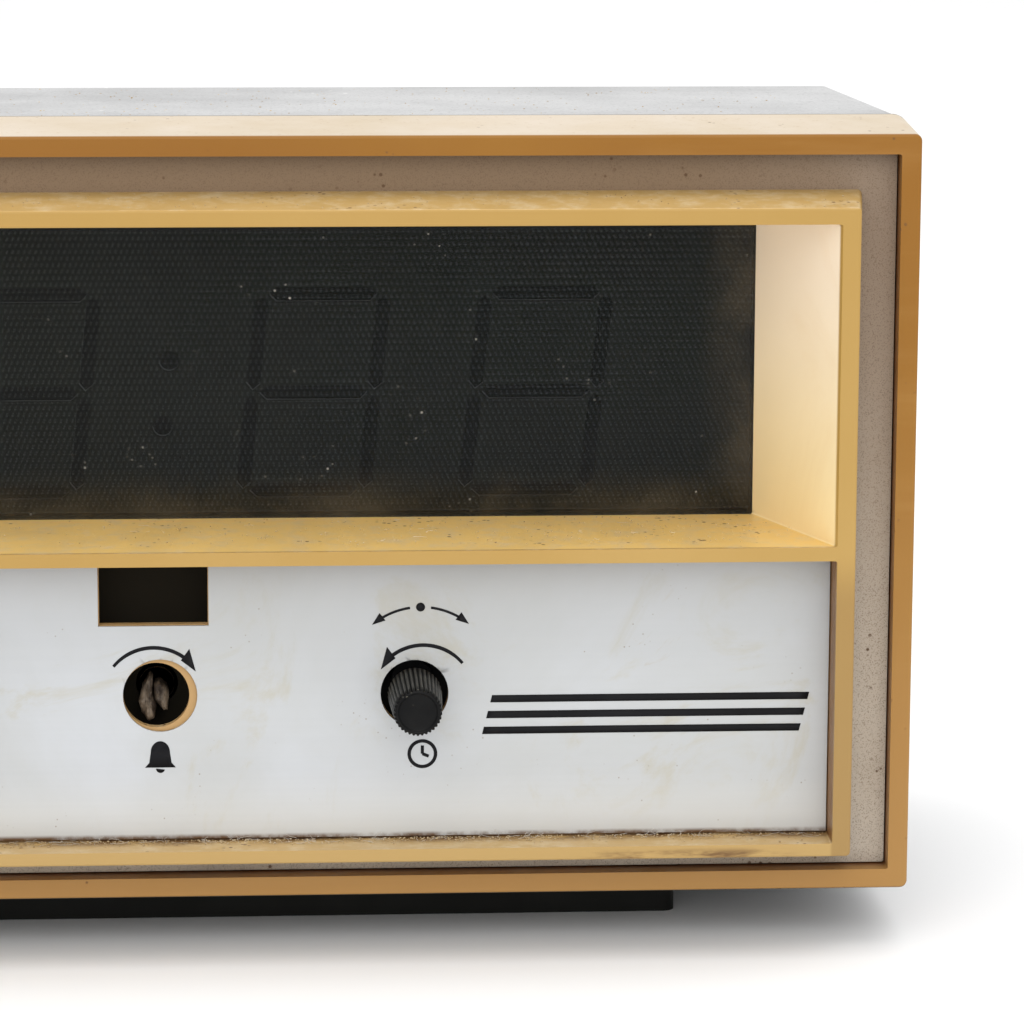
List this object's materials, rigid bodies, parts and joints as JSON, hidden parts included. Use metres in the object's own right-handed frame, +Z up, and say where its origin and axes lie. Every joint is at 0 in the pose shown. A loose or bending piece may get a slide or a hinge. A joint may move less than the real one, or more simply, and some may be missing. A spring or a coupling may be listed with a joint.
{
  "type": "digital alarm clock",
  "caption": "Mains electromechanical digital alarm clock with a wide smoked window, brushed control panel, ribbed setting knobs and a geared segment shutter display inside",
  "frame": {"origin": "centre of the plinth's underside, on the surface the clock stands on", "axes": "+Z up, the display faces -Y, +X to the viewer's right of the display"},
  "size_m": [0.2534, 0.1199, 0.1386],
  "materials": {
    "amber_plastic": "aged cream plastic, yellowed to amber",
    "inner_cream": "aged cream plastic, satin",
    "grey_panel": "speckled warm grey paint",
    "fascia_metal": "fine satin aluminium foil with cloudy stains",
    "smoked_lens": "smoked acrylic with a fine dot screen",
    "case_plastic": "dark grey moulded plastic, dusty",
    "plinth_plastic": "black plastic",
    "black_knob": "black ribbed plastic",
    "shaft_plastic": "grey-brown moulded plastic",
    "mask_black": "matt black",
    "diffuser_film": "milky film",
    "vane_plastic": "dark green-grey",
    "zinc_steel": "zinc plated sheet",
    "black_steel": "black painted sheet",
    "bright_steel": "ground steel",
    "brass": "turned brass",
    "gear_plastic": "natural white nylon",
    "lamp_glass": "clear glass",
    "coil_winding": "enamelled copper winding",
    "gland_rubber": "black rubber"
  },
  "bodies": {
    "clock": {"outer_bezel": "amber_plastic", "recess_panel": "grey_panel", "inner_bezel": "inner_cream", "control_panel": "fascia_metal", "window_lens": "smoked_lens", "case_shell": "case_plastic", "rear_cover": "case_plastic", "case_screws": "zinc_steel", "cord_gland": "gland_rubber", "base_plinth": "plinth_plastic", "segment_mask": "mask_black", "diffuser": "diffuser_film", "vane_frame": "mask_black", "push_wires": "bright_steel", "wire_guide": "gear_plastic", "lamp_tubes": "lamp_glass", "left_plate": "zinc_steel", "right_plate": "zinc_steel", "plate_pillars": "zinc_steel", "drum_axle": "bright_steel", "layshaft": "bright_steel", "motor_body": "zinc_steel", "chassis_base": "black_steel", "buzzer_coil": "coil_winding"},
    "unit_drum": {"unit_drum": "gear_plastic"},
    "ten_drum": {"ten_drum": "gear_plastic"},
    "hour_drum": {"hour_drum": "gear_plastic"},
    "first_transfer_gear": {"first_transfer_gear": "gear_plastic"},
    "second_transfer_gear": {"second_transfer_gear": "gear_plastic"},
    "idler_gear": {"idler_gear": "gear_plastic"},
    "motor_pinion": {"motor_pinion": "brass"},
    "time_set_sleeve": {"time_set_sleeve": "black_knob"},
    "time_set_knob": {"time_set_knob": "black_knob", "time_set_shaft": "bright_steel"},
    "alarm_set": {"alarm_set_shaft": "shaft_plastic", "alarm_dial": "mask_black"},
    "alarm_switch": {"alarm_switch_knob": "black_knob"},
    "buzzer_reed": {"buzzer_reed": "bright_steel"},
    "hour_vane_a": {"hour_vane_a": "vane_plastic"},
    "hour_vane_b": {"hour_vane_b": "vane_plastic"},
    "hour_vane_c": {"hour_vane_c": "vane_plastic"},
    "hour_vane_d": {"hour_vane_d": "vane_plastic"},
    "hour_vane_e": {"hour_vane_e": "vane_plastic"},
    "hour_vane_f": {"hour_vane_f": "vane_plastic"},
    "hour_vane_g": {"hour_vane_g": "vane_plastic"},
    "ten_vane_a": {"ten_vane_a": "vane_plastic"},
    "ten_vane_b": {"ten_vane_b": "vane_plastic"},
    "ten_vane_c": {"ten_vane_c": "vane_plastic"},
    "ten_vane_d": {"ten_vane_d": "vane_plastic"},
    "ten_vane_e": {"ten_vane_e": "vane_plastic"},
    "ten_vane_f": {"ten_vane_f": "vane_plastic"},
    "ten_vane_g": {"ten_vane_g": "vane_plastic"},
    "unit_vane_a": {"unit_vane_a": "vane_plastic"},
    "unit_vane_b": {"unit_vane_b": "vane_plastic"},
    "unit_vane_c": {"unit_vane_c": "vane_plastic"},
    "unit_vane_d": {"unit_vane_d": "vane_plastic"},
    "unit_vane_e": {"unit_vane_e": "vane_plastic"},
    "unit_vane_f": {"unit_vane_f": "vane_plastic"},
    "unit_vane_g": {"unit_vane_g": "vane_plastic"},
    "leading_one_vane": {"leading_one_vane": "vane_plastic"}
  },
  "joints": [
    {"name": "unit_drum_turn", "type": "hinge", "parent": "clock", "child": "unit_drum", "pos_m": [0, 0.0015, 0.0914], "axis": [1, 0, 0], "continuous": true},
    {"name": "ten_drum_turn", "type": "hinge", "parent": "clock", "child": "ten_drum", "pos_m": [0, 0.0015, 0.0914], "axis": [1, 0, 0], "continuous": true},
    {"name": "hour_drum_turn", "type": "hinge", "parent": "clock", "child": "hour_drum", "pos_m": [0, 0.0015, 0.0914], "axis": [1, 0, 0], "continuous": true},
    {"name": "first_transfer_turn", "type": "hinge", "parent": "clock", "child": "first_transfer_gear", "pos_m": [0, 0.01693, 0.07301], "axis": [1, 0, 0], "continuous": true},
    {"name": "second_transfer_turn", "type": "hinge", "parent": "clock", "child": "second_transfer_gear", "pos_m": [0, 0.01693, 0.07301], "axis": [1, 0, 0], "continuous": true},
    {"name": "idler_turn", "type": "hinge", "parent": "clock", "child": "idler_gear", "pos_m": [0, 0.0034, 0.05645], "axis": [1, 0, 0], "continuous": true},
    {"name": "motor_turn", "type": "hinge", "parent": "clock", "child": "motor_pinion", "pos_m": [0, 0.021, 0.045], "axis": [1, 0, 0], "continuous": true},
    {"name": "time_set_pull", "type": "slide", "parent": "clock", "child": "time_set_sleeve", "axis": [0, -1, 0], "range_m": [0, 0.004]},
    {"name": "time_set_turn", "type": "hinge", "parent": "time_set_sleeve", "child": "time_set_knob", "pos_m": [0.0424, -0.057, 0.0448], "axis": [0, -1, 0], "continuous": true},
    {"name": "alarm_set_turn", "type": "hinge", "parent": "clock", "child": "alarm_set", "pos_m": [-0.0004, -0.057, 0.0448], "axis": [0, -1, 0], "continuous": true},
    {"name": "alarm_switch_pull", "type": "slide", "parent": "clock", "child": "alarm_switch", "axis": [0, -1, 0], "range_m": [0, 0.003]},
    {"name": "buzzer_reed_swing", "type": "hinge", "parent": "clock", "child": "buzzer_reed", "pos_m": [-0.05, 0.005, 0.0445], "axis": [0, 1, 0], "range_deg": [0, 5]},
    {"name": "hour_vane_a_turn", "type": "hinge", "parent": "clock", "child": "hour_vane_a", "pos_m": [-0.02073, -0.0288, 0.1082], "axis": [1, 0, 0], "range_deg": [0, 80]},
    {"name": "hour_vane_b_turn", "type": "hinge", "parent": "clock", "child": "hour_vane_b", "pos_m": [-0.01131, -0.0288, 0.0999], "axis": [0.1045, 0, 0.9945], "range_deg": [0, 80]},
    {"name": "hour_vane_c_turn", "type": "hinge", "parent": "clock", "child": "hour_vane_c", "pos_m": [-0.01309, -0.0288, 0.0829], "axis": [0.1045, 0, 0.9945], "range_deg": [0, 80]},
    {"name": "hour_vane_d_turn", "type": "hinge", "parent": "clock", "child": "hour_vane_d", "pos_m": [-0.02427, -0.0288, 0.0746], "axis": [1, 0, 0], "range_deg": [0, 80]},
    {"name": "hour_vane_e_turn", "type": "hinge", "parent": "clock", "child": "hour_vane_e", "pos_m": [-0.03369, -0.0288, 0.0829], "axis": [0.1045, 0, 0.9945], "range_deg": [0, 80]},
    {"name": "hour_vane_f_turn", "type": "hinge", "parent": "clock", "child": "hour_vane_f", "pos_m": [-0.03191, -0.0288, 0.0999], "axis": [0.1045, 0, 0.9945], "range_deg": [0, 80]},
    {"name": "hour_vane_g_turn", "type": "hinge", "parent": "clock", "child": "hour_vane_g", "pos_m": [-0.0225, -0.0288, 0.0914], "axis": [1, 0, 0], "range_deg": [0, 80]},
    {"name": "ten_vane_a_turn", "type": "hinge", "parent": "clock", "child": "ten_vane_a", "pos_m": [0.02807, -0.0288, 0.1082], "axis": [1, 0, 0], "range_deg": [0, 80]},
    {"name": "ten_vane_b_turn", "type": "hinge", "parent": "clock", "child": "ten_vane_b", "pos_m": [0.03749, -0.0288, 0.0999], "axis": [0.1045, 0, 0.9945], "range_deg": [0, 80]},
    {"name": "ten_vane_c_turn", "type": "hinge", "parent": "clock", "child": "ten_vane_c", "pos_m": [0.03571, -0.0288, 0.0829], "axis": [0.1045, 0, 0.9945], "range_deg": [0, 80]},
    {"name": "ten_vane_d_turn", "type": "hinge", "parent": "clock", "child": "ten_vane_d", "pos_m": [0.02453, -0.0288, 0.0746], "axis": [1, 0, 0], "range_deg": [0, 80]},
    {"name": "ten_vane_e_turn", "type": "hinge", "parent": "clock", "child": "ten_vane_e", "pos_m": [0.01511, -0.0288, 0.0829], "axis": [0.1045, 0, 0.9945], "range_deg": [0, 80]},
    {"name": "ten_vane_f_turn", "type": "hinge", "parent": "clock", "child": "ten_vane_f", "pos_m": [0.01689, -0.0288, 0.0999], "axis": [0.1045, 0, 0.9945], "range_deg": [0, 80]},
    {"name": "ten_vane_g_turn", "type": "hinge", "parent": "clock", "child": "ten_vane_g", "pos_m": [0.0263, -0.0288, 0.0914], "axis": [1, 0, 0], "range_deg": [0, 80]},
    {"name": "unit_vane_a_turn", "type": "hinge", "parent": "clock", "child": "unit_vane_a", "pos_m": [0.06577, -0.0288, 0.1082], "axis": [1, 0, 0], "range_deg": [0, 80]},
    {"name": "unit_vane_b_turn", "type": "hinge", "parent": "clock", "child": "unit_vane_b", "pos_m": [0.07519, -0.0288, 0.0999], "axis": [0.1045, 0, 0.9945], "range_deg": [0, 80]},
    {"name": "unit_vane_c_turn", "type": "hinge", "parent": "clock", "child": "unit_vane_c", "pos_m": [0.07341, -0.0288, 0.0829], "axis": [0.1045, 0, 0.9945], "range_deg": [0, 80]},
    {"name": "unit_vane_d_turn", "type": "hinge", "parent": "clock", "child": "unit_vane_d", "pos_m": [0.06223, -0.0288, 0.0746], "axis": [1, 0, 0], "range_deg": [0, 80]},
    {"name": "unit_vane_e_turn", "type": "hinge", "parent": "clock", "child": "unit_vane_e", "pos_m": [0.05281, -0.0288, 0.0829], "axis": [0.1045, 0, 0.9945], "range_deg": [0, 80]},
    {"name": "unit_vane_f_turn", "type": "hinge", "parent": "clock", "child": "unit_vane_f", "pos_m": [0.05459, -0.0288, 0.0999], "axis": [0.1045, 0, 0.9945], "range_deg": [0, 80]},
    {"name": "unit_vane_g_turn", "type": "hinge", "parent": "clock", "child": "unit_vane_g", "pos_m": [0.064, -0.0288, 0.0914], "axis": [1, 0, 0], "range_deg": [0, 80]},
    {"name": "leading_one_vane_turn", "type": "hinge", "parent": "clock", "child": "leading_one_vane", "pos_m": [-0.0502, -0.0288, 0.0914], "axis": [0.1045, 0, 0.9945], "range_deg": [0, 80]}
  ],
  "couplings": [
    {"joint": "ten_drum_turn", "follows": "unit_drum_turn", "ratio": 0.16667},
    {"joint": "hour_drum_turn", "follows": "unit_drum_turn", "ratio": 0.013889},
    {"joint": "first_transfer_turn", "follows": "unit_drum_turn", "ratio": -0.33333},
    {"joint": "second_transfer_turn", "follows": "unit_drum_turn", "ratio": -0.055556},
    {"joint": "idler_turn", "follows": "unit_drum_turn", "ratio": -1.3333},
    {"joint": "motor_turn", "follows": "unit_drum_turn", "ratio": 3.3333}
  ]
}
